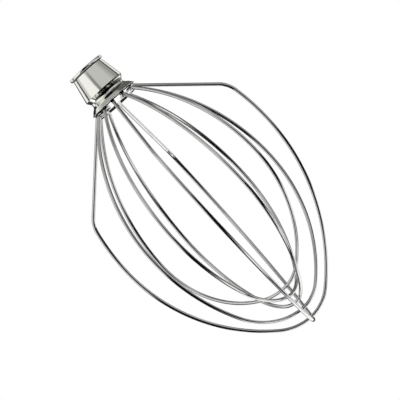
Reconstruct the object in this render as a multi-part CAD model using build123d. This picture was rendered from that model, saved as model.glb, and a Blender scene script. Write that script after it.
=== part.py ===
"""Wire whisk for a stand mixer: six bent wire loops gripped in a hub that locks on the mixer's shaft.

Millimetres. The shaft's axis is Z, the hub's rim is at z = 0 and the loops hang below it. Outlines are drawn
in the plane of radius and height. Depths are measured down from the rim, and angles from the axis.
"""
import os
from math import atan2, cos, degrees, pi, radians, sin, tan

from build123d import *

# Shaft sleeve: the bore, the rim on its top, the bayonet slot for the shaft's cross pin and the notch that
# marks it on the rim
SHAFT_DIAMETER = 12.7
SHAFT_CLEARANCE = 0.05
SLEEVE_WALL = 2.4
RIM_THICKNESS = 1.8
RIM_OVERHANG = 1.35
RIM_EDGE_RADIUS = 0.6
BORE_CHAMFER = 0.5
PIN_DIAMETER = 3.2
PIN_CLEARANCE = 0.1
PIN_DEPTH = 10.0
PIN_TURN = 45.0
PIN_ROOM = 1.45
MARK_WIDTH = 2.6
MARK_DEPTH = 1.1
MARK_INSET = 1.3

# Hub shell: a drawn wall with a cone, a rolled neck and a flared skirt
SHELL_WALL = 1.2
CONE_DEPTH = 18.0
UNDERCUT = 2.1
UNDERCUT_ANGLE = 45.0
FOLD_RADIUS = 0.4
NECK_LENGTH = 2.4
NECK_FOLD_RADIUS = 1.55
SKIRT_ANGLE = 46.5
SKIRT_REACH = 4.6
LIP_EDGE_RADIUS = 0.54

# Wire seat: the plug that fills the skirt and closes the sleeve from below
SEAT_CLEARANCE = 0.05
LAND_SETBACK = 2.4
SEAT_BELOW_LIP = 4.2
SEAT_FLOOR = 2.5
SEAT_EDGE_RADIUS = 0.7

# Largest share of a wall that the rounding of its edge takes
ROUNDING_LIMIT = 0.45

# Wire, and how far its tail reaches up beside the sleeve
WIRE_DIAMETER = 2.3
WIRE_CLEARANCE = 0.1
WIRE_TAIL = 4.0

# Wide loops: straight shoulders, a tight elbow and long flanks. A side turn is a share of the turn that would
# bring the tip to a point
CAGE_LENGTH = 185.0
SHOULDER_LENGTH = 58.5
ELBOW_RADIUS = 16.8
FLANK_ANGLE = 11.0
FLANK_RADIUS = 150.0
WIDE_SIDE_TURN = 0.785
TIP_CLEARANCE = 0.1

# The face loop is bent by hand: one shoulder is longer and steeper than the other
FACE_SHOULDER_OFFSET = 4.4
FACE_SHOULDER_SKEW = 1.9
EXIT_BEND_RADIUS = 60.0

# Inner loops: smooth ovals bent by hand, some halves tighter, some sprung out, each tip above the last one's
INNER_RUN = 4.0
TIGHT_HALF_WIDTH = 53.7
INNER_HALF_WIDTH = 55.6
SPRUNG_HALF_WIDTH = 57.7
FULL_SIDE_TURN = 0.755
SLACK_SIDE_TURN = 0.475
FIRST_TIP_GAP = 5.3
TIP_GAP = 3.4

# Inner loops from the outermost tip inwards: place round the axis in wire spacings, then the right half and
# the left half, each with its half width and its side turn
INNER_LOOPS = [
    (5, (INNER_HALF_WIDTH, SLACK_SIDE_TURN), (INNER_HALF_WIDTH, FULL_SIDE_TURN)),
    (2, (SPRUNG_HALF_WIDTH, FULL_SIDE_TURN), (SPRUNG_HALF_WIDTH, SLACK_SIDE_TURN)),
    (4, (INNER_HALF_WIDTH, SLACK_SIDE_TURN), (TIGHT_HALF_WIDTH, FULL_SIDE_TURN)),
    (1, (TIGHT_HALF_WIDTH, FULL_SIDE_TURN), (SPRUNG_HALF_WIDTH, FULL_SIDE_TURN)),
]
LOOP_COUNT = 2 + len(INNER_LOOPS)
WIRE_SPACING = 180.0 / LOOP_COUNT
FACE_PLACE = 0
EDGE_PLACE = LOOP_COUNT // 2

# Radii, from the shaft outwards
WIRE_RADIUS = WIRE_DIAMETER / 2
BORE_RADIUS = SHAFT_DIAMETER / 2 + SHAFT_CLEARANCE
SLEEVE_RADIUS = BORE_RADIUS + SLEEVE_WALL
TAIL_RADIUS = SLEEVE_RADIUS + WIRE_CLEARANCE + WIRE_RADIUS
WIRE_TO_SKIN = WIRE_RADIUS + WIRE_CLEARANCE + SHELL_WALL
NECK_RADIUS = TAIL_RADIUS + WIRE_TO_SKIN
PIN_REACH = SLEEVE_RADIUS + PIN_ROOM
CONE_TOP_RADIUS = PIN_REACH + SHELL_WALL
CONE_BASE_RADIUS = NECK_RADIUS + UNDERCUT
RIM_RADIUS = CONE_TOP_RADIUS + RIM_OVERHANG
LIP_RADIUS = NECK_RADIUS + SKIRT_REACH
LAND_RADIUS = LIP_RADIUS - LAND_SETBACK

# Depths, from the rim down
SKIRT = radians(SKIRT_ANGLE)
NECK_TOP_DEPTH = CONE_DEPTH + UNDERCUT / tan(radians(UNDERCUT_ANGLE))
NECK_END_DEPTH = NECK_TOP_DEPTH + NECK_LENGTH
LIP_DEPTH = NECK_END_DEPTH + SKIRT_REACH / tan(SKIRT)
SEAT_DEPTH = LIP_DEPTH + SEAT_BELOW_LIP
SLEEVE_DEPTH = SEAT_DEPTH - SEAT_FLOOR
FACE_TIP_DEPTH = LIP_DEPTH + CAGE_LENGTH
EDGE_TIP_DEPTH = FACE_TIP_DEPTH + WIRE_DIAMETER + TIP_CLEARANCE
FIRST_TIP_DEPTH = FACE_TIP_DEPTH - WIRE_DIAMETER - FIRST_TIP_GAP

# A wire's way through the hub: the corner between its tail and its run under the skirt is bent
WIRE_BEND_RADIUS = NECK_FOLD_RADIUS + WIRE_TO_SKIN
BEND_SETBACK = WIRE_BEND_RADIUS * tan(SKIRT / 2)
CORNER_DEPTH = NECK_END_DEPTH + WIRE_TO_SKIN * tan(SKIRT / 2)
SEAT_RUN = SKIRT_REACH / sin(SKIRT) + WIRE_TO_SKIN * tan(SKIRT / 2)


def along_skirt(distance, offset=0.0):
    """Point on a line down the skirt from the wire's corner, moved sideways towards the axis by an offset."""
    radius = TAIL_RADIUS + distance * sin(SKIRT) - offset * cos(SKIRT)
    depth = CORNER_DEPTH + distance * cos(SKIRT) + offset * sin(SKIRT)
    return radius, -depth


def make_sleeve():
    """Turned sleeve with a rim, bored for the shaft and slotted for the cross pin."""
    outline = Polyline(
        (BORE_RADIUS, 0),
        (RIM_RADIUS, 0),
        (RIM_RADIUS, -RIM_THICKNESS),
        (SLEEVE_RADIUS, -RIM_THICKNESS),
        (SLEEVE_RADIUS, -SLEEVE_DEPTH),
        (BORE_RADIUS, -SLEEVE_DEPTH),
        close=True,
    )
    section = make_face(outline)
    rim_corners = section.vertices().filter_by(lambda corner: corner.X > PIN_REACH)
    section = fillet(rim_corners, min(RIM_EDGE_RADIUS, ROUNDING_LIMIT * RIM_THICKNESS))
    bore_mouth = section.vertices().group_by(Axis.Y)[-1].sort_by(Axis.X)[0]
    section = chamfer(bore_mouth, BORE_CHAMFER)
    sleeve = revolve(Plane.XZ * section, Axis.Z)
    return sleeve - make_pin_slot() - make_mark()


def make_pin_slot():
    """Slot down the front of the sleeve as deep as the pin reaches, turning to a round end where it locks."""
    width = PIN_DIAMETER + 2 * PIN_CLEARANCE
    pin_hole = Plane((0, 0, -PIN_DEPTH), z_dir=(0, -1, 0)) * extrude(Circle(width / 2), 2 * RIM_RADIUS)
    entry = Plane.XZ * extrude(Pos(0, -PIN_DEPTH / 2) * Rectangle(width, PIN_DEPTH), PIN_REACH)
    across = Pos(SLEEVE_RADIUS - SLEEVE_WALL / 2, -PIN_DEPTH) * Rectangle(2 * SLEEVE_WALL, width)
    turn = Rot(0, 0, -90) * revolve(Plane.XZ * across, Axis.Z, revolution_arc=PIN_TURN)
    return entry + pin_hole + turn + Rot(0, 0, PIN_TURN) * pin_hole


def make_mark():
    """Notch in the rim's edge, over the slot."""
    return Pos(0, -RIM_RADIUS, 0) * Box(MARK_WIDTH, 2 * MARK_INSET, 2 * MARK_DEPTH)


def make_shell():
    """Wall of one thickness along the hub's outer line, from under the rim to the skirt's lip."""
    outer_line = FilletPolyline(
        (CONE_TOP_RADIUS, -RIM_THICKNESS),
        (CONE_BASE_RADIUS, -CONE_DEPTH),
        (NECK_RADIUS, -NECK_TOP_DEPTH),
        (NECK_RADIUS, -NECK_END_DEPTH),
        (LIP_RADIUS, -LIP_DEPTH),
        radius=[FOLD_RADIUS, FOLD_RADIUS, NECK_FOLD_RADIUS],
    )
    wall = make_face(offset(outer_line, SHELL_WALL, side=Side.RIGHT, closed=True))
    lip_corners = wall.vertices().sort_by(Axis.X)[-2:]
    wall = fillet(lip_corners, min(LIP_EDGE_RADIUS, ROUNDING_LIMIT * SHELL_WALL))
    return revolve(Plane.XZ * wall, Axis.Z)


def make_seat():
    """Plug that fills the skirt and narrows below its lip, with a slot for each wire and a closed floor."""
    bore = SLEEVE_RADIUS + SEAT_CLEARANCE
    top_radius, top_height = along_skirt(0, -WIRE_RADIUS)
    outline = Polyline(
        (0, -SLEEVE_DEPTH),
        (bore, -SLEEVE_DEPTH),
        (bore, top_height),
        (top_radius, top_height),
        along_skirt(SEAT_RUN, -WIRE_RADIUS),
        (LAND_RADIUS, -SEAT_DEPTH),
        (0, -SEAT_DEPTH),
        close=True,
    )
    section = make_face(outline)
    lower_edge = section.vertices().group_by(Axis.Y)[0].sort_by(Axis.X)[-1]
    section = fillet(lower_edge, SEAT_EDGE_RADIUS)
    plug = revolve(Plane.XZ * section, Axis.Z)
    slot = make_wire_slot()
    return plug - [Rot(0, 0, turn * WIRE_SPACING) * slot for turn in range(2 * LOOP_COUNT)]


def make_wire_slot():
    """Straight slot whose floor runs under one wire, open towards the skirt and longer than the plug."""
    floor = WIRE_RADIUS + WIRE_CLEARANCE
    above = -2 * WIRE_BEND_RADIUS
    below = 2 * SEAT_RUN
    profile = Polyline(
        along_skirt(above, floor),
        along_skirt(below, floor),
        along_skirt(below, -WIRE_TO_SKIN),
        along_skirt(above, -2 * LIP_RADIUS),
        close=True,
    )
    return extrude(Plane.XZ * make_face(profile), floor, both=True)


def seat_path():
    """Tail in the neck, bend, and run under the skirt to its lip."""
    tail_top = (TAIL_RADIUS, -(NECK_TOP_DEPTH - WIRE_TAIL))
    bend_start = (TAIL_RADIUS, -(CORNER_DEPTH - BEND_SETBACK))
    tail = Line(tail_top, bend_start)
    bend = turn_from(tail, WIRE_BEND_RADIUS, SKIRT_ANGLE)
    run = Line(bend @ 1, along_skirt(SEAT_RUN))
    return [tail, bend, run]


def turn_from(edge, radius, angle):
    """Arc that carries on from an edge, turning outwards for a positive angle and inwards otherwise."""
    return JernArc(edge @ 1, edge % 1, radius, angle)


def run_from(edge, length):
    """Straight run that carries on from an edge."""
    start = edge @ 1
    return Line(start, start + (edge % 1) * length)


def tip_path(edge, tip_depth, turn_share):
    """Side arc and tip arc from a loop's widest point to its tip on the axis.

    The side arc takes a share of the turn that would bring the tip to a point, and the tip arc the rest.
    """
    half_width = (edge @ 1).X
    drop = tip_depth + (edge @ 1).Y
    turn = turn_share * min(2 * atan2(half_width, drop), pi / 2)
    spread = sin(turn) + cos(turn) - 1
    side_radius = (drop * cos(turn) - half_width * (1 - sin(turn))) / spread
    tip_radius = (half_width * sin(turn) - drop * (1 - cos(turn))) / spread
    side = turn_from(edge, side_radius, -degrees(turn))
    tip = turn_from(side, tip_radius, degrees(turn) - 90)
    return [side, tip]


def wide_half(tip_depth, shoulder, skew):
    """One half of a wide loop: shoulder, elbow and flank down to its tip."""
    path = seat_path()
    if skew:
        path.append(turn_from(path[-1], EXIT_BEND_RADIUS, skew))
        shoulder -= path[-1].length
    path.append(run_from(path[-1], shoulder))
    path.append(turn_from(path[-1], ELBOW_RADIUS, FLANK_ANGLE - SKIRT_ANGLE - skew))
    path.append(turn_from(path[-1], FLANK_RADIUS, -FLANK_ANGLE))
    return path + tip_path(path[-1], tip_depth, WIDE_SIDE_TURN)


def inner_half(tip_depth, half_width, side_turn):
    """One half of an inner loop: a short run and one long curve to its widest point, then down to its tip."""
    path = seat_path()
    path.append(run_from(path[-1], INNER_RUN))
    reach = half_width - (path[-1] @ 1).X
    path.append(turn_from(path[-1], reach / (1 - cos(SKIRT)), -SKIRT_ANGLE))
    return path + tip_path(path[-1], tip_depth, side_turn)


def make_loop(right, left, place):
    """Round wire along two halves that meet at the tip, turned to its place round the axis."""
    path = Plane.XZ * Wire(right + [edge.mirror(Plane.YZ) for edge in left])
    section = Plane(path @ 0, z_dir=path % 0) * Circle(WIRE_RADIUS)
    return Rot(0, 0, -place * WIRE_SPACING) * sweep(section, path)


def make_loops():
    """The two wide loops square to each other and the inner loops between them."""
    short_side = wide_half(FACE_TIP_DEPTH, SHOULDER_LENGTH - FACE_SHOULDER_OFFSET, FACE_SHOULDER_SKEW)
    long_side = wide_half(FACE_TIP_DEPTH, SHOULDER_LENGTH + FACE_SHOULDER_OFFSET, -FACE_SHOULDER_SKEW)
    edge_half = wide_half(EDGE_TIP_DEPTH, SHOULDER_LENGTH, 0)
    loops = {
        "face_loop": make_loop(short_side, long_side, FACE_PLACE),
        "edge_loop": make_loop(edge_half, edge_half, EDGE_PLACE),
    }
    for order, (place, right, left) in enumerate(INNER_LOOPS):
        tip_depth = FIRST_TIP_DEPTH - order * (WIRE_DIAMETER + TIP_GAP)
        right_path = inner_half(tip_depth, *right)
        left_path = inner_half(tip_depth, *left)
        loops[f"inner_loop_{order + 1}"] = make_loop(right_path, left_path, place)
    return loops


def main():
    nodes = {
        "shaft_sleeve": make_sleeve(),
        "hub_shell": make_shell(),
        "wire_seat": make_seat(),
        **make_loops(),
    }
    os.makedirs("parts", exist_ok=True)
    for name, solid in nodes.items():
        export_step(solid, f"parts/{name}.step")


main()
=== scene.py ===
"""Looks of a stand mixer's wire whisk: bright wire loops in a polished metal hub, on a white ground.

Metres. The shaft's axis is Z, the hub's rim is at z = 0 and the loops hang below it. Depths go down
from the rim.
"""

import bpy
import numpy as np
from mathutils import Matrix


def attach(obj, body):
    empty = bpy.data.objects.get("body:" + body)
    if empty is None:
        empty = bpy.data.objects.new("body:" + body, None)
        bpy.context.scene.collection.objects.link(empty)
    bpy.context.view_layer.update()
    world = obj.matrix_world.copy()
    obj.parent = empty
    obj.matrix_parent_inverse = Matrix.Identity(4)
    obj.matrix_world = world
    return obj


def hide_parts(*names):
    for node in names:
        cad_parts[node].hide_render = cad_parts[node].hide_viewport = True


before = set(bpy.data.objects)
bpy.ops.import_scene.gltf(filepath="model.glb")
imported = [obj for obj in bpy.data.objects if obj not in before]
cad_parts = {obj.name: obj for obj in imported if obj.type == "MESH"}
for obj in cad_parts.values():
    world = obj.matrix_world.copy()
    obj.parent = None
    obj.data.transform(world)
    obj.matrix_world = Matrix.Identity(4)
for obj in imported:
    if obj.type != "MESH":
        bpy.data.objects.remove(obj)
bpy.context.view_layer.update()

# Shaft sleeve: a turned stainless tube with a rim on its top, bored for the mixer's shaft and slotted
# for its cross pin. The hub shell is pushed on from below, up against the rim. The rim shows fine
# turning rings; painted shade darkens the bore and the crease under the rim.
SLEEVE_COLOUR = (0.88, 0.88, 0.86, 1.0)
SLEEVE_ROUGHNESS = (0.08, 0.18)
SLEEVE_RINGS = 2600.0
SLEEVE_RING_BUMP = 0.04
RING_DRIFT = 30.0
FINISH_DEPTH = 0.0001
# Painted shade: the dark colour in the bore and in the crease under the rim
BORE_SHADE_COLOUR = (0.035, 0.035, 0.032, 1.0)
BORE_CENTRE = (0.0, 0.0, 0.0)
BORE_EDGE = (0.00655, 0.00705)
RIM_CREASE_DEPTH = 0.0017
WELD_DISTANCE = 1e-6
SHARP_EDGE = np.radians(32.0)
FLAT_FACE_WEIGHT = 100


def new_steel(name, colour):
    """Bright metal; returns the material, its node tree and its shader."""
    material = bpy.data.materials.new(name)
    material.use_nodes = True
    shader = material.node_tree.nodes["Principled BSDF"]
    shader.inputs["Base Color"].default_value = colour
    shader.inputs["Metallic"].default_value = 1.0
    return material, material.node_tree, shader


def spread(tree, source, low, high):
    """A value from 0 to 1 mapped in proportion to a range; returns its socket."""
    node = tree.nodes.new("ShaderNodeMapRange")
    node.inputs["To Min"].default_value = low
    node.inputs["To Max"].default_value = high
    tree.links.new(source, node.inputs["Value"])
    return node.outputs["Result"]


def stretched_noise(tree, coordinate, scale, detail=2.0):
    """Noise on a coordinate multiplied by three scales, so that it can run in lines; a socket."""
    place = tree.nodes.new("ShaderNodeTexCoord")
    mapping = tree.nodes.new("ShaderNodeMapping")
    mapping.inputs["Scale"].default_value = scale
    noise = tree.nodes.new("ShaderNodeTexNoise")
    noise.inputs["Scale"].default_value = 1.0
    noise.inputs["Detail"].default_value = detail
    tree.links.new(place.outputs[coordinate], mapping.inputs["Vector"])
    tree.links.new(mapping.outputs["Vector"], noise.inputs["Vector"])
    return noise.outputs["Fac"]


def add_bump(tree, shader, relief, strength, distance):
    """Bump from a relief, laid over the bump that the shader has already."""
    bump = tree.nodes.new("ShaderNodeBump")
    bump.inputs["Strength"].default_value = strength
    bump.inputs["Distance"].default_value = distance
    tree.links.new(relief, bump.inputs["Height"])
    for link in shader.inputs["Normal"].links:
        tree.links.new(link.from_socket, bump.inputs["Normal"])
    tree.links.new(bump.outputs["Normal"], shader.inputs["Normal"])


def turned_steel(name, colour, roughness, rings, strength):
    """Lathe finish: noise quick along the axis and slow round it, as roughness and as bump."""
    material, tree, shader = new_steel(name, colour)
    lines = stretched_noise(tree, "Object", (RING_DRIFT, RING_DRIFT, rings))
    tree.links.new(spread(tree, lines, *roughness), shader.inputs["Roughness"])
    add_bump(tree, shader, lines, strength, FINISH_DEPTH)
    return material, tree, shader


def height_over_rim(tree):
    """Height above the rim's top, which is minus the depth; a socket."""
    place = tree.nodes.new("ShaderNodeTexCoord")
    split = tree.nodes.new("ShaderNodeSeparateXYZ")
    tree.links.new(place.outputs["Object"], split.inputs["Vector"])
    return split.outputs["Z"]


def upright_distance(tree, centre):
    """Distance from an upright line: the length of the level part of the way to it; a socket."""
    place = tree.nodes.new("ShaderNodeTexCoord")
    way = tree.nodes.new("ShaderNodeVectorMath")
    way.operation = "SUBTRACT"
    way.inputs[1].default_value = centre
    level_part = tree.nodes.new("ShaderNodeVectorMath")
    level_part.operation = "MULTIPLY"
    level_part.inputs[1].default_value = (1.0, 1.0, 0.0)
    length = tree.nodes.new("ShaderNodeVectorMath")
    length.operation = "LENGTH"
    tree.links.new(place.outputs["Object"], way.inputs[0])
    tree.links.new(way.outputs["Vector"], level_part.inputs[0])
    tree.links.new(level_part.outputs["Vector"], length.inputs[0])
    return length.outputs["Value"]


def combine(tree, operation, *values):
    """Sockets and plain numbers put together by one operation; a socket."""
    node = tree.nodes.new("ShaderNodeMath")
    node.operation = operation
    for slot, value in zip(node.inputs, values):
        if isinstance(value, bpy.types.NodeSocket):
            tree.links.new(value, slot)
        else:
            slot.default_value = value
    return node.outputs["Value"]


def blend_colour(tree, shader, value, limits, colours):
    """Base colour that goes from one colour to another in proportion to a value between two limits."""
    share = tree.nodes.new("ShaderNodeMapRange")
    share.inputs["From Min"].default_value, share.inputs["From Max"].default_value = limits
    mix = tree.nodes.new("ShaderNodeMixRGB")
    mix.inputs["Color1"].default_value, mix.inputs["Color2"].default_value = colours
    tree.links.new(value, share.inputs["Value"])
    tree.links.new(share.outputs["Result"], mix.inputs["Fac"])
    tree.links.new(mix.outputs["Color"], shader.inputs["Base Color"])


def finish_node(name, material):
    """Give a CAD node its material, and smooth shading with its sharp edges kept."""
    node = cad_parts[name]
    node.data.materials.clear()
    node.data.materials.append(material)
    node.data.polygons.foreach_set("use_smooth", np.ones(len(node.data.polygons), bool))
    node.modifiers.new("weld", "WELD").merge_threshold = WELD_DISTANCE
    node.modifiers.new("sharp edges", "EDGE_SPLIT").split_angle = SHARP_EDGE
    node.modifiers.new("flat faces", "WEIGHTED_NORMAL").weight = FLAT_FACE_WEIGHT


def sleeve_finish():
    """Turned steel, with painted shade within the bore's radius and below the crease under the rim."""
    material, tree, shader = turned_steel(
        "turned_sleeve", SLEEVE_COLOUR, SLEEVE_ROUGHNESS, SLEEVE_RINGS, SLEEVE_RING_BUMP)
    above_crease = combine(tree, "GREATER_THAN", height_over_rim(tree), -RIM_CREASE_DEPTH)
    from_bore_shade = combine(tree, "MULTIPLY", upright_distance(tree, BORE_CENTRE), above_crease)
    blend_colour(tree, shader, from_bore_shade, BORE_EDGE, (BORE_SHADE_COLOUR, SLEEVE_COLOUR))
    return material


finish_node("shaft_sleeve", sleeve_finish())

# Hub shell: one drawn stainless sheet. A cone under the rim, a neck rolled in off centre to grip the
# wires, and a skirt flared out over them to a thin lip. Wheel polishing leaves faint rings and waves;
# painted shade darkens the groove's front, the line under the cone's edge and the crease under the rim.
SHELL_COLOUR = (0.82, 0.82, 0.765, 1.0)
SHELL_ROUGHNESS = (0.06, 0.14)
SHELL_RINGS = 1500.0
SHELL_RING_BUMP = 0.02
SHELL_WAVES = (220.0, 220.0, 220.0)
SHELL_WAVE_BUMP = 0.06
SHELL_WAVE_DEPTH = 0.0005
# Painted shade: the dark colour in the groove's front, under the cone's edge and under the rim
GROOVE_SHADE_COLOUR = (0.06, 0.06, 0.056, 1.0)
GROOVE_SHADE_EDGE = (0.0115, 0.0119)
GROOVE_CENTRE = (0.0013, -0.0015, 0.0)
GROOVE_MIDDLE_DEPTH = 0.01955
GROOVE_HALF_HEIGHT = 0.00155
LINE_CENTRE = (0.0025, -0.0038, 0.0)
LINE_MIDDLE_DEPTH = 0.0181
LINE_HALF_HEIGHT = 0.0005
SHELL_CREASE_DEPTH = 0.0025
SHELL_WALL = 0.0012
LIP_WALL = 0.0004
RIM_THICKNESS = 0.0018
CONE_TOP_RADIUS = 0.01145
CONE_BASE_RADIUS = 0.0146
CONE_DEPTH = 0.0177
CONE_INSIDE_RISE = 0.3 * SHELL_WALL
UNDERCUT_ANGLE = np.radians(37.0)
UNDERCUT_INSIDE_ANGLE = np.radians(45.0)
UNDERCUT_INSIDE = 0.0021
NECK_RADIUS = 0.0125
NECK_OFFSET = 0.0003
NECK_OFFSET_AZIMUTH = np.radians(-65.0)
NECK_END_DEPTH = 0.0225
SKIRT_ANGLE = np.radians(46.5)
SKIRT_REACH = 0.0046
SKIRT_SWELL = 0.0003
LIP_RADIUS = NECK_RADIUS + SKIRT_REACH
LIP_DEPTH = NECK_END_DEPTH + SKIRT_REACH / np.tan(SKIRT_ANGLE)
FOLD_RADIUS = 0.0004
SMALL_FOLD_RADIUS = FOLD_RADIUS / 2
CONE_EDGE_RADIUS = 0.0003
NECK_FOLD_RADIUS = 0.00155
NECK_EDGE_RADIUS = 0.0024
SKIRT_SWELL_RADIUS = 0.002
LIP_EDGE_RADIUS = 0.00017
CORNER_POINTS = 9
HUB_COLUMNS = 240


def unit(vectors):
    """Vectors divided by their lengths."""
    return vectors / np.linalg.norm(vectors, axis=-1, keepdims=True)


def rounded_outlines(corners, radii):
    """Closed outlines whose corners are arcs, from corners laid out by outline, corner and coordinate.

    Where the outline turns by an angle at a corner, the arc of radius r starts r times the tangent of
    half the turn before the corner, and its centre is r to the side that the outline turns to.
    """
    before = corners - np.roll(corners, 1, axis=1)
    after = np.roll(corners, -1, axis=1) - corners
    heading = np.arctan2(before[..., 1], before[..., 0])
    cross = before[..., 0] * after[..., 1] - before[..., 1] * after[..., 0]
    turn = np.arctan2(cross, (before * after).sum(axis=-1))
    side = np.sign(turn)[..., None]
    radii = np.array(radii)[:, None]
    start = corners - radii * np.tan(np.abs(turn) / 2)[..., None] * unit(before)
    centre = start + radii * side * np.stack([-np.sin(heading), np.cos(heading)], axis=-1)
    sweep = turn[..., None] * np.linspace(0, 1, CORNER_POINTS)
    angle = heading[..., None] - side * np.pi / 2 + sweep
    arc = radii[:, None] * np.stack([np.cos(angle), np.sin(angle)], axis=-1)
    return (centre[:, :, None] + arc).reshape(len(corners), -1, 2)


def shell_sections(azimuth):
    """Sections of the shell at each azimuth: up the outer line from the lip, and down the inner line.

    The neck's outer radius is its mean less its offset times the cosine of the azimuth from its deepest
    place. The undercut and the skirt keep their slopes, so the neck begins and ends where it meets them.
    Half way down, the skirt swells outwards a little. A corner is a radius, a depth and a bend's radius.
    """
    cone_slope = (CONE_BASE_RADIUS - CONE_TOP_RADIUS) / (CONE_DEPTH - RIM_THICKNESS)
    cone_wall = SHELL_WALL * np.hypot(1, cone_slope)
    neck = NECK_RADIUS - NECK_OFFSET * np.cos(azimuth - NECK_OFFSET_AZIMUTH)
    neck_top = CONE_DEPTH + (CONE_BASE_RADIUS - neck) / np.tan(UNDERCUT_ANGLE)
    neck_end = LIP_DEPTH - (LIP_RADIUS - neck) / np.tan(SKIRT_ANGLE)
    swell_radius = (LIP_RADIUS + neck) / 2 + SKIRT_SWELL * np.cos(SKIRT_ANGLE)
    swell_depth = (LIP_DEPTH + neck_end) / 2 - SKIRT_SWELL * np.sin(SKIRT_ANGLE)
    inside = NECK_RADIUS - SHELL_WALL
    inside_top = CONE_DEPTH + UNDERCUT_INSIDE - SHELL_WALL * np.tan(UNDERCUT_INSIDE_ANGLE / 2)
    inside_end = NECK_END_DEPTH + SHELL_WALL * np.tan(SKIRT_ANGLE / 2)
    lip_inside_radius = LIP_RADIUS - LIP_WALL * np.cos(SKIRT_ANGLE)
    lip_inside_depth = LIP_DEPTH + LIP_WALL * np.sin(SKIRT_ANGLE)
    corners = [
        (LIP_RADIUS, LIP_DEPTH, LIP_EDGE_RADIUS),
        (swell_radius, swell_depth, SKIRT_SWELL_RADIUS),
        (neck, neck_end, NECK_EDGE_RADIUS),
        (neck, neck_top, SMALL_FOLD_RADIUS),
        (CONE_BASE_RADIUS, CONE_DEPTH, CONE_EDGE_RADIUS),
        (CONE_TOP_RADIUS, RIM_THICKNESS, SMALL_FOLD_RADIUS),
        (CONE_TOP_RADIUS - cone_wall, RIM_THICKNESS, SMALL_FOLD_RADIUS),
        (CONE_BASE_RADIUS - cone_wall, CONE_DEPTH - CONE_INSIDE_RISE, SMALL_FOLD_RADIUS),
        (inside, inside_top, FOLD_RADIUS + SHELL_WALL),
        (inside, inside_end, NECK_FOLD_RADIUS + SHELL_WALL),
        (lip_inside_radius, lip_inside_depth, LIP_EDGE_RADIUS),
    ]
    same = np.ones_like(azimuth)
    places = [np.stack([radius * same, -depth * same], axis=-1) for radius, depth, bend_radius in corners]
    bend_radii = [bend_radius for radius, depth, bend_radius in corners]
    return rounded_outlines(np.stack(places, axis=1), bend_radii)


def grid_corners(rows, columns, wrap_rows):
    """Row and column of each corner of a grid's faces, and the number of corners of each face.

    The columns close on themselves. The rows do as well, or else each end gets one flat cap. The
    numbers go one past the seam.
    """
    row_steps = rows if wrap_rows else rows - 1
    row, column = np.meshgrid(np.arange(row_steps), np.arange(columns), indexing="ij")
    corner_rows = np.stack([row, row, row + 1, row + 1], axis=-1).ravel()
    corner_columns = np.stack([column, column + 1, column + 1, column], axis=-1).ravel()
    sizes = np.full(row_steps * columns, 4)
    if not wrap_rows:
        around = np.arange(columns)
        corner_rows = np.append(corner_rows, np.repeat([0, rows - 1], columns))
        corner_columns = np.append(corner_columns, [around[::-1], around])
        sizes = np.append(sizes, [columns, columns])
    return corner_rows, corner_columns, sizes


def grid_mesh(name, points, material, wrap_rows):
    """Mesh on a grid of points, smooth but for its caps, with the row and column of each corner."""
    rows, columns = points.shape[:2]
    corner_rows, corner_columns, sizes = grid_corners(rows, columns, wrap_rows)
    corners = corner_rows % rows * columns + corner_columns % columns
    mesh = bpy.data.meshes.new(name)
    mesh.vertices.add(rows * columns)
    mesh.vertices.foreach_set("co", points.astype(np.float32).ravel())
    mesh.loops.add(corners.size)
    mesh.loops.foreach_set("vertex_index", corners)
    mesh.polygons.add(sizes.size)
    mesh.polygons.foreach_set("loop_start", np.cumsum(sizes) - sizes)
    mesh.update(calc_edges=True)
    mesh.polygons.foreach_set("use_smooth", sizes == 4)
    mesh.materials.append(material)
    return mesh, corner_rows, corner_columns


def grid_piece(name, points, material, uv, wrap_rows):
    """A piece of the whisk on a grid of points; a corner's UV is the one of its row and its column."""
    mesh, corner_rows, corner_columns = grid_mesh(name, points, material, wrap_rows)
    corner_uv = np.stack([uv[0][corner_rows], uv[1][corner_columns]], axis=1)
    mesh.uv_layers.new(name="UVMap").uv.foreach_set("vector", corner_uv.astype(np.float32).ravel())
    piece = bpy.data.objects.new(name, mesh)
    bpy.context.scene.collection.objects.link(piece)
    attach(piece, "root")
    return piece


def shell_piece(name, material):
    """Sections of radius and height set round the axis, one for each azimuth."""
    azimuth = np.linspace(0, 2 * np.pi, HUB_COLUMNS, endpoint=False)
    sections = shell_sections(azimuth).transpose(1, 0, 2)
    radius, height = sections[..., 0], sections[..., 1]
    points = np.stack([radius * np.cos(azimuth), radius * np.sin(azimuth), height], axis=2)
    along = np.linspace(0, 1, len(sections) + 1)
    around = np.linspace(0, 1, HUB_COLUMNS + 1)
    return grid_piece(name, points, material, (along, around), wrap_rows=True)


# Band in which the painted shade of the groove and of the line under the cone's edge goes
def shade_band_distance(tree, centre, middle_depth, half_height):
    """Distance from an upright line within a band of heights, and far out above and below; a socket."""
    in_band = combine(tree, "COMPARE", height_over_rim(tree), -middle_depth, half_height)
    out_of_band = combine(tree, "SUBTRACT", 1.0, in_band)
    return combine(tree, "MAXIMUM", out_of_band, upright_distance(tree, centre))


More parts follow.
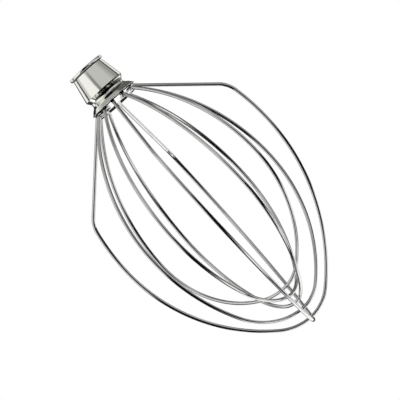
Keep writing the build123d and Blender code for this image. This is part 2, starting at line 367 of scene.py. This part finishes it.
def shell_finish():
    """Polished sheet with faint rings and waves, darkened by painted shade in its groove and creases."""
    material, tree, shader = turned_steel(
        "drawn_shell", SHELL_COLOUR, SHELL_ROUGHNESS, SHELL_RINGS, SHELL_RING_BUMP)
    waves = stretched_noise(tree, "Object", SHELL_WAVES, detail=1.0)
    add_bump(tree, shader, waves, SHELL_WAVE_BUMP, SHELL_WAVE_DEPTH)
    in_groove = shade_band_distance(tree, GROOVE_CENTRE, GROOVE_MIDDLE_DEPTH, GROOVE_HALF_HEIGHT)
    under_cone = shade_band_distance(tree, LINE_CENTRE, LINE_MIDDLE_DEPTH, LINE_HALF_HEIGHT)
    in_either = combine(tree, "MINIMUM", in_groove, under_cone)
    below_crease = combine(tree, "LESS_THAN", height_over_rim(tree), -SHELL_CREASE_DEPTH)
    from_groove_shade = combine(tree, "MULTIPLY", in_either, below_crease)
    blend_colour(tree, shader, from_groove_shade, GROOVE_SHADE_EDGE, (GROOVE_SHADE_COLOUR, SHELL_COLOUR))
    return material


hub_shell = shell_piece("hub_shell_polished", shell_finish())
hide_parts("hub_shell")

# Wire seat: the plug under the skirt, a turned blank with twelve slots milled down its cone. The wires
# lie in the slots, and the bright land between them narrows downwards from the lip.
SEAT_COLOUR = (0.80, 0.81, 0.80, 1.0)
SEAT_ROUGHNESS = (0.06, 0.14)
SEAT_RINGS = 900.0
SEAT_RING_BUMP = 0.05

seat_steel = turned_steel("milled_seat", SEAT_COLOUR, SEAT_ROUGHNESS, SEAT_RINGS, SEAT_RING_BUMP)[0]
finish_node("wire_seat", seat_steel)

# Wire loops: six lengths of bright drawn stainless wire, each bent into a flat loop with its tails
# gripped in the neck. Two are wide with elbows, and the four between them are smooth ovals, tip inside
# tip. Drawing leaves fine lines along the wire; painted shade darkens the crevice under the skirt's lip.
WIRE_COLOUR = (0.62, 0.625, 0.615, 1.0)
WIRE_ROUGHNESS = (0.03, 0.07)
WIRE_LINES = (60.0, 40.0, 1.0)
WIRE_LINE_BUMP = 0.03
# Painted shade: the dark colour of the wires in the crevice under the skirt's lip
CREVICE_SHADE_COLOUR = (0.02, 0.02, 0.02, 1.0)
CREVICE_DEPTH = (0.0274, 0.0284)
WIRE_RADIUS = 0.00115
WIRE_SIDES = 28
HALF_POINTS = 450
WIRE_CLEARANCE = 0.0001
WIRE_TAIL = 0.004
WIRE_TO_SKIN = WIRE_RADIUS + WIRE_CLEARANCE + SHELL_WALL
WIRE_BEND_RADIUS = NECK_FOLD_RADIUS + WIRE_TO_SKIN
TAIL_RADIUS = NECK_RADIUS - WIRE_TO_SKIN
TAIL_DEPTH = CONE_DEPTH + UNDERCUT_INSIDE - WIRE_TAIL
CAGE_LENGTH = 0.185
SHOULDER_LENGTH = 0.0585
SHOULDER_OFFSET = 0.0044
SHOULDER_SKEW = np.radians(1.9)
EXIT_BEND_RADIUS = 0.06
ELBOW_RADIUS = 0.0168
FLANK_ANGLE = np.radians(11.0)
FLANK_RADIUS = 0.15
WIDE_SIDE_TURN = 0.785
TIP_CLEARANCE = 0.0001
INNER_RUN = 0.004
TIGHT_HALF_WIDTH = 0.0537
INNER_HALF_WIDTH = 0.0556
SPRUNG_HALF_WIDTH = 0.0577
FULL_SIDE_TURN = 0.755
SLACK_SIDE_TURN = 0.475
FIRST_TIP_GAP = 0.0053
TIP_GAP = 0.0034
WIRE_SPACING = np.radians(30.0)
FACE_TIP_DEPTH = LIP_DEPTH + CAGE_LENGTH
EDGE_TIP_DEPTH = FACE_TIP_DEPTH + 2 * WIRE_RADIUS + TIP_CLEARANCE
FIRST_TIP_DEPTH = FACE_TIP_DEPTH - 2 * WIRE_RADIUS - FIRST_TIP_GAP
# Places are counted round the axis, one wire spacing apart
FACE_PLACE = 0
EDGE_PLACE = 3
# From the outermost tip inwards: place, then the half width and side turn of its right and left half
INNER_LOOPS = [
    (5, (INNER_HALF_WIDTH, SLACK_SIDE_TURN), (INNER_HALF_WIDTH, FULL_SIDE_TURN)),
    (2, (SPRUNG_HALF_WIDTH, FULL_SIDE_TURN), (SPRUNG_HALF_WIDTH, SLACK_SIDE_TURN)),
    (4, (INNER_HALF_WIDTH, SLACK_SIDE_TURN), (TIGHT_HALF_WIDTH, FULL_SIDE_TURN)),
    (1, (TIGHT_HALF_WIDTH, FULL_SIDE_TURN), (SPRUNG_HALF_WIDTH, FULL_SIDE_TURN)),
]


def bend(radius, turn):
    """One bend of a wire as its length and its turn, outwards when positive."""
    return [radius * abs(turn), turn]


def in_hub():
    """The tail, the bend and the run under the skirt, up to the lip."""
    corner = WIRE_TO_SKIN * np.tan(SKIRT_ANGLE / 2)
    setback = WIRE_BEND_RADIUS * np.tan(SKIRT_ANGLE / 2)
    tail = NECK_END_DEPTH - TAIL_DEPTH + corner - setback
    run = SKIRT_REACH / np.sin(SKIRT_ANGLE) + corner - setback
    return [[tail, 0.0], bend(WIRE_BEND_RADIUS, SKIRT_ANGLE), [run, 0.0]]


def wire_line(pieces):
    """Line of radius and depth along a chain of runs and bends.

    The heading from the axis grows in proportion to the length within a bend and stays on a run. Each
    step goes along its mean heading, shortened to the chord of its arc.
    """
    pieces = np.array(pieces)
    knots = np.append(0, np.cumsum(pieces[:, 0]))
    headings = np.append(0, np.cumsum(pieces[:, 1]))
    along = np.unique(np.append(np.linspace(0, knots[-1], HALF_POINTS), knots))
    heading = np.interp(along, knots, headings)
    middle = (heading[1:] + heading[:-1]) / 2
    half_turn = (heading[1:] - heading[:-1]) / 2
    chord = np.diff(along) * np.sinc(half_turn / np.pi)
    steps = np.stack([np.sin(middle), np.cos(middle)], axis=1) * chord[:, None]
    return np.cumsum(np.concatenate([[[TAIL_RADIUS, TAIL_DEPTH]], steps]), axis=0)


def to_tip(pieces, tip_depth, turn_share):
    """Line of a half loop, closed by a side arc and a tip arc from its widest point to its tip.

    The side arc takes a share of the turn that would bring the tip to a point, and the tip arc takes
    the rest. With half width w, drop d and side turn t, the side radius is d cos t - w (1 - sin t) and
    the tip radius is w sin t - d (1 - cos t), both divided by sin t + cos t - 1.
    """
    half_width, depth = wire_line(pieces)[-1]
    drop = tip_depth - depth
    turn = turn_share * min(2 * np.arctan2(half_width, drop), np.pi / 2)
    divisor = np.sin(turn) + np.cos(turn) - 1
    side_radius = (drop * np.cos(turn) - half_width * (1 - np.sin(turn))) / divisor
    tip_radius = (half_width * np.sin(turn) - drop * (1 - np.cos(turn))) / divisor
    return wire_line(pieces + [bend(side_radius, -turn), bend(tip_radius, turn - np.pi / 2)])


def wide_half(tip_depth, shoulder, skew):
    """Half of a wide loop: a straight shoulder, a tight elbow and a long flank."""
    exit_bend = bend(EXIT_BEND_RADIUS, skew)
    return to_tip(in_hub() + [
        exit_bend,
        [shoulder - exit_bend[0], 0.0],
        bend(ELBOW_RADIUS, FLANK_ANGLE - SKIRT_ANGLE - skew),
        bend(FLANK_RADIUS, -FLANK_ANGLE),
    ], tip_depth, WIDE_SIDE_TURN)


def inner_half(tip_depth, half_width, side_turn):
    """Half of an inner loop: a short run and one long curve out to the half width."""
    start = in_hub() + [[INNER_RUN, 0.0]]
    curve = (half_width - wire_line(start)[-1, 0]) / (1 - np.cos(SKIRT_ANGLE))
    return to_tip(start + [bend(curve, -SKIRT_ANGLE)], tip_depth, side_turn)


def wire_finish():
    """Drawn wire: noise in fine lines along it, as roughness and as bump, and painted shade in the
    crevice.
    """
    material, tree, shader = new_steel("drawn_wire", WIRE_COLOUR)
    lines = stretched_noise(tree, "UV", WIRE_LINES)
    tree.links.new(spread(tree, lines, *WIRE_ROUGHNESS), shader.inputs["Roughness"])
    add_bump(tree, shader, lines, WIRE_LINE_BUMP, FINISH_DEPTH)
    shallow, deep = CREVICE_DEPTH
    blend_colour(tree, shader, height_over_rim(tree), (-deep, -shallow), (WIRE_COLOUR, CREVICE_SHADE_COLOUR))
    return material


def loop_piece(name, right, left, place, material):
    """Round wire along a flat loop: a circle square to the line, carried along it and capped at its ends.

    The circle lies along the loop's own plane by its cosine and against the plane's normal by its sine.
    """
    line = np.concatenate([right, left[-2::-1] * (-1, 1)])
    tangent = unit(np.gradient(line, axis=0))
    along = np.append(0, np.cumsum(np.linalg.norm(np.diff(line, axis=0), axis=1)))
    around = np.linspace(0, 2 * np.pi, WIRE_SIDES, endpoint=False)
    sideways = line[:, :1] + WIRE_RADIUS * np.cos(around) * tangent[:, 1:]
    down = line[:, 1:] - WIRE_RADIUS * np.cos(around) * tangent[:, :1]
    across = np.broadcast_to(-WIRE_RADIUS * np.sin(around), down.shape)
    angle = -place * WIRE_SPACING
    points = np.stack([
        sideways * np.cos(angle) - across * np.sin(angle),
        sideways * np.sin(angle) + across * np.cos(angle),
        -down,
    ], axis=2)
    uv = (along, np.linspace(0, 1, WIRE_SIDES + 1))
    piece = grid_piece(name + "_polished", points, material, uv, wrap_rows=False)
    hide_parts(name)


wire_steel = wire_finish()
short_side = wide_half(FACE_TIP_DEPTH, SHOULDER_LENGTH - SHOULDER_OFFSET, SHOULDER_SKEW)
long_side = wide_half(FACE_TIP_DEPTH, SHOULDER_LENGTH + SHOULDER_OFFSET, -SHOULDER_SKEW)
edge_half = wide_half(EDGE_TIP_DEPTH, SHOULDER_LENGTH, 0.0)
loop_piece("face_loop", short_side, long_side, FACE_PLACE, wire_steel)
loop_piece("edge_loop", edge_half, edge_half, EDGE_PLACE, wire_steel)
for order, (place, right_half, left_half) in enumerate(INNER_LOOPS):
    tip_depth = FIRST_TIP_DEPTH - order * (2 * WIRE_RADIUS + TIP_GAP)
    right_line = inner_half(tip_depth, *right_half)
    left_line = inner_half(tip_depth, *left_half)
    loop_piece(f"inner_loop_{order + 1}", right_line, left_line, place, wire_steel)

# Studio: white paper below the hanging whisk, a white surround, and a soft sun for the shadow. Round
# the whisk is a tent of cloth with lit and dark panels, which the metal mirrors; the camera and the
# lamps see through it.
FLOOR_DEPTH = 0.42
FLOOR_SIZE = 60.0
FLOOR_COLOUR = (0.92, 0.92, 0.92, 1.0)
FLOOR_ROUGHNESS = 0.9
SURROUND_COLOUR = (1.0, 1.0, 1.0, 1.0)
FILL_LIGHT = 0.72
SUN_LIGHT = 1.1
SUN_SPREAD = np.radians(3.0)
SUN_TURN = (np.radians(11.0), np.radians(-9.0), 0.0)
TENT_RADIUS = 2.5
TENT_CENTRE = (0.0, 0.0, -0.1)
TENT_ROWS = 119
TENT_COLUMNS = 240
TENT_LIGHT = 0.62
TENT_EDGE = 5.0
# Panels laid over each other: turn round the front from the right, half width, nearest and farthest
# angle from the front, all in degrees, and brightness
TENT_PANELS = [
    # Right and left
    (-20, 22, 25, 137, 0.03),
    (166, 39, 25, 92, 1.06),
    # Below
    (272, 65, 62, 200, 0.00),
    (326, 13, 76, 200, 1.35),
    (306, 16, 104, 200, 1.20),
    (254, 40, 91, 150, 1.45),
    (268, 28, 81, 96, 1.45),
    (199, 15, 104, 165, 0.04),
    (232, 14, 72, 92, 0.90),
    (282, 44, 42, 60, 1.40),
    (207, 18, 10, 104, 0.02),
    # Above
    (90, 16, 37, 50, 0.00),
    (65, 21, 60, 82, 0.10),
    (92, 45, 76, 100, 0.42),
    (65, 27, 94, 160, 0.12),
    (103, 10, 104, 124, 0.95),
    (122, 18, 111, 126, 0.95),
    (122, 22, 129, 200, 0.02),
    # Stripes at the left and the right, from beside the whisk to behind it
    (160, 18, 82, 100, 0.70),
    (160, 18, 100, 112, 0.06),
    (160, 18, 115, 138, 1.05),
    (165, 25, 143, 200, 0.02),
    (14, 16, 76, 92, 0.50),
    (14, 16, 92, 119, 0.36),
    (14, 16, 119, 132, 0.06),
    (14, 16, 135, 158, 1.05),
    # Straight behind, all round
    (0, 190, 158, 200, 0.02),
    # Above, close to the front
    (108, 13, 16, 34, 0.28),
]
# Dark cloth round the camera, in degrees: how far its middle is right of the front and above it, its
# half width and its half height
FRONT_PANEL = (-1.5, -10.5, 40.0, 31.5)


def within(value, low, high):
    """1 inside a range and 0 outside, with a smooth step as wide as the cloth's edge at each end."""
    rise = np.clip((value - low) / TENT_EDGE + 0.5, 0, 1)
    fall = np.clip((high - value) / TENT_EDGE + 0.5, 0, 1)
    return rise * rise * (3 - 2 * rise) * fall * fall * (3 - 2 * fall)


def tent_brightness(turn, polar):
    """Brightness of the tent: panel after panel laid over plain cloth, and a dark oval over the front."""
    light = np.full(turn.shape, TENT_LIGHT)
    for middle, half_width, near, far, brightness in TENT_PANELS:
        around = (turn - middle + 180) % 360 - 180
        cover = within(around, -half_width, half_width) * within(polar, near, far)
        light += (brightness - light) * cover
    right, above, half_width, half_height = FRONT_PANEL
    across = (polar * np.cos(np.radians(turn)) - right) / half_width
    along = (polar * np.sin(np.radians(turn)) - above) / half_height
    return light * (1 - within(np.hypot(across, along) * half_width, -half_width, half_width))


def stage_piece(mesh):
    """A part of the studio from its mesh."""
    piece = bpy.data.objects.new(mesh.name, mesh)
    bpy.context.scene.collection.objects.link(piece)
    return piece


def tent_cloth():
    """Cloth that glows with the brightness of its mesh."""
    material = bpy.data.materials.new("tent_cloth")
    material.use_nodes = True
    nodes, links = material.node_tree.nodes, material.node_tree.links
    nodes.clear()
    brightness = nodes.new("ShaderNodeAttribute")
    brightness.attribute_name = "brightness"
    glow = nodes.new("ShaderNodeEmission")
    output = nodes.new("ShaderNodeOutputMaterial")
    links.new(brightness.outputs["Fac"], glow.inputs["Strength"])
    links.new(glow.outputs["Emission"], output.inputs["Surface"])
    material.cycles.emission_sampling = "NONE"
    return material


def make_tent():
    """Sphere round the whisk, by angle from the front and turn round it, seen in reflections alone."""
    polar, turn = np.meshgrid(
        np.linspace(0, 180, TENT_ROWS + 2)[1:-1],
        np.linspace(0, 360, TENT_COLUMNS, endpoint=False),
        indexing="ij",
    )
    out = np.sin(np.radians(polar))
    points = TENT_RADIUS * np.stack([
        out * np.cos(np.radians(turn)),
        -np.cos(np.radians(polar)),
        out * np.sin(np.radians(turn)),
    ], axis=2) + TENT_CENTRE
    tent = stage_piece(grid_mesh("tent", points, tent_cloth(), wrap_rows=False)[0])
    light = tent_brightness(turn, polar).astype(np.float32).ravel()
    tent.data.attributes.new("brightness", "FLOAT", "POINT").data.foreach_set("value", light)
    tent.visible_camera = False
    tent.visible_diffuse = False
    tent.visible_transmission = False
    tent.visible_shadow = False


def make_floor():
    """Square of white paper."""
    paper = bpy.data.materials.new("white_paper")
    paper.use_nodes = True
    shader = paper.node_tree.nodes["Principled BSDF"]
    shader.inputs["Base Color"].default_value = FLOOR_COLOUR
    shader.inputs["Roughness"].default_value = FLOOR_ROUGHNESS
    shader.inputs["Specular IOR Level"].default_value = 0.0
    corners = FLOOR_SIZE / 2 * np.array([(-1, -1, 0), (1, -1, 0), (1, 1, 0), (-1, 1, 0)])
    mesh = bpy.data.meshes.new("floor")
    mesh.from_pydata(corners - (0, 0, FLOOR_DEPTH), [], [(0, 1, 2, 3)])
    mesh.materials.append(paper)
    floor = stage_piece(mesh)
    floor.visible_glossy = False


def make_sun():
    """Soft sun for the floor and the shadow, not mirrored by the metal."""
    light = bpy.data.lights.new("sun", "SUN")
    light.energy = SUN_LIGHT
    light.angle = SUN_SPREAD
    sun = bpy.data.objects.new("sun", light)
    sun.rotation_euler = SUN_TURN
    sun.visible_glossy = False
    bpy.context.scene.collection.objects.link(sun)


def make_surround():
    """White world: full white where it is seen or mirrored, and dimmer where it lights the floor."""
    world = bpy.data.worlds.new("white_surround")
    world.use_nodes = True
    bpy.context.scene.world = world
    tree = world.node_tree
    path = tree.nodes.new("ShaderNodeLightPath").outputs
    seen = combine(tree, "MAXIMUM", path["Is Camera Ray"], path["Is Glossy Ray"])
    seen = combine(tree, "MAXIMUM", seen, path["Is Transmission Ray"])
    background = tree.nodes["Background"]
    background.inputs["Color"].default_value = SURROUND_COLOUR
    tree.links.new(spread(tree, seen, FILL_LIGHT, 1.0), background.inputs["Strength"])


make_tent()
make_floor()
make_sun()
make_surround()

# Camera: a long lens some metres away, nearly square to the shaft's axis, and rolled so that the hub is
# at the upper left of the picture. A known depth on the axis shows at a known pixel.
CAMERA_AZIMUTH = np.radians(3.51)
CAMERA_ELEVATION = np.radians(-2.76)
CAMERA_ROLL = np.radians(42.19)
CAMERA_DISTANCE = 5.63
PICTURE_PIXELS = 400
PIXEL = 0.0006292
AIM_DEPTH = 0.11502
AIM_PIXEL = (207.50, 203.17)

back = np.array([
    np.sin(CAMERA_AZIMUTH) * np.cos(CAMERA_ELEVATION),
    -np.cos(CAMERA_AZIMUTH) * np.cos(CAMERA_ELEVATION),
    np.sin(CAMERA_ELEVATION),
])
level = np.array([np.cos(CAMERA_AZIMUTH), np.sin(CAMERA_AZIMUTH), 0.0])
downward = np.cross(level, back)
right = np.cos(CAMERA_ROLL) * level + np.sin(CAMERA_ROLL) * downward
down = np.cos(CAMERA_ROLL) * downward - np.sin(CAMERA_ROLL) * level
aim_right, aim_down = (np.array(AIM_PIXEL) - PICTURE_PIXELS / 2) * PIXEL
centre = np.array([0.0, 0.0, -AIM_DEPTH]) - aim_right * right - aim_down * down
camera_data = bpy.data.cameras.new("camera")
camera_data.lens = camera_data.sensor_width * CAMERA_DISTANCE / (PICTURE_PIXELS * PIXEL)
camera = bpy.data.objects.new("camera", camera_data)
bpy.context.scene.collection.objects.link(camera)
pose = np.eye(4)
pose[:3, :3] = np.stack([right, -down, back], axis=1)
pose[:3, 3] = centre + CAMERA_DISTANCE * back
camera.matrix_world = pose.T.tolist()
bpy.context.scene.camera = camera
bpy.context.scene.view_settings.view_transform = "Standard"
